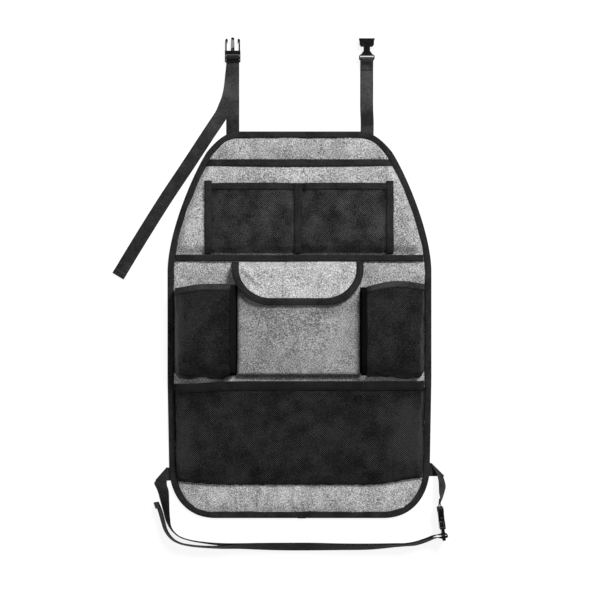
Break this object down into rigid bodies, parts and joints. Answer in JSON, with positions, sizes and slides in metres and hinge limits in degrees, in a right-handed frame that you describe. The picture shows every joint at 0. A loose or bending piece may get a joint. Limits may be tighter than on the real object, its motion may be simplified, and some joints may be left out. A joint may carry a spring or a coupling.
{
  "type": "car seat-back organizer",
  "caption": "Seat-back organizer: padded grey panel with a document pocket, net pockets, bottle pockets, a flapped middle pocket and webbing straps with side-release buckles.",
  "frame": {"origin": "centre of the panel's back face, half way between its top and bottom edges' middle heights", "axes": "+Y towards the panel's top edge, +Z out of the front, +X towards the right hand of someone facing the front"},
  "size_m": [0.5122, 0.7837, 0.0504],
  "materials": {
    "melange": "grey melange felt-like cloth",
    "black_cloth": "plain black cloth behind the netting",
    "lining": "plain dark lining cloth",
    "foam": "thin soft padding",
    "tape": "ribbed charcoal tape",
    "net": "fine soft netting",
    "webbing": "flat woven webbing",
    "buckle_plastic": "smooth moulded plastic",
    "hook_and_loop": "hook-and-loop patch"
  },
  "bodies": {
    "root": {"upper_net_backing": "black_cloth", "left_bottle_backing": "black_cloth", "right_bottle_backing": "black_cloth", "lower_net_backing": "black_cloth", "back_cloth": "lining", "foam_pad": "foam", "front_cloth": "melange", "edge_binding": "tape", "document_pocket": "melange", "document_pocket_tape": "tape", "upper_net": "net", "upper_net_top_tape": "tape", "upper_net_left_tape": "tape", "upper_net_right_tape": "tape", "upper_net_divider": "tape", "middle_tape": "tape", "centre_pocket": "melange", "flap": "melange", "flap_binding": "tape", "pocket_loop_patch": "hook_and_loop", "flap_hook_patch": "hook_and_loop", "left_bottle_net": "net", "left_bottle_gusset": "tape", "left_bottle_tape": "tape", "right_bottle_net": "net", "right_bottle_gusset": "tape", "right_bottle_tape": "tape", "lower_net": "net", "lower_net_tape": "tape", "left_top_strap": "webbing", "left_top_buckle": "buckle_plastic", "right_top_strap": "webbing", "right_top_buckle": "buckle_plastic", "left_bottom_strap": "webbing", "bottom_plug": "buckle_plastic", "right_bottom_strap": "webbing", "bottom_right_socket": "buckle_plastic"}
  },
  "joints": []
}
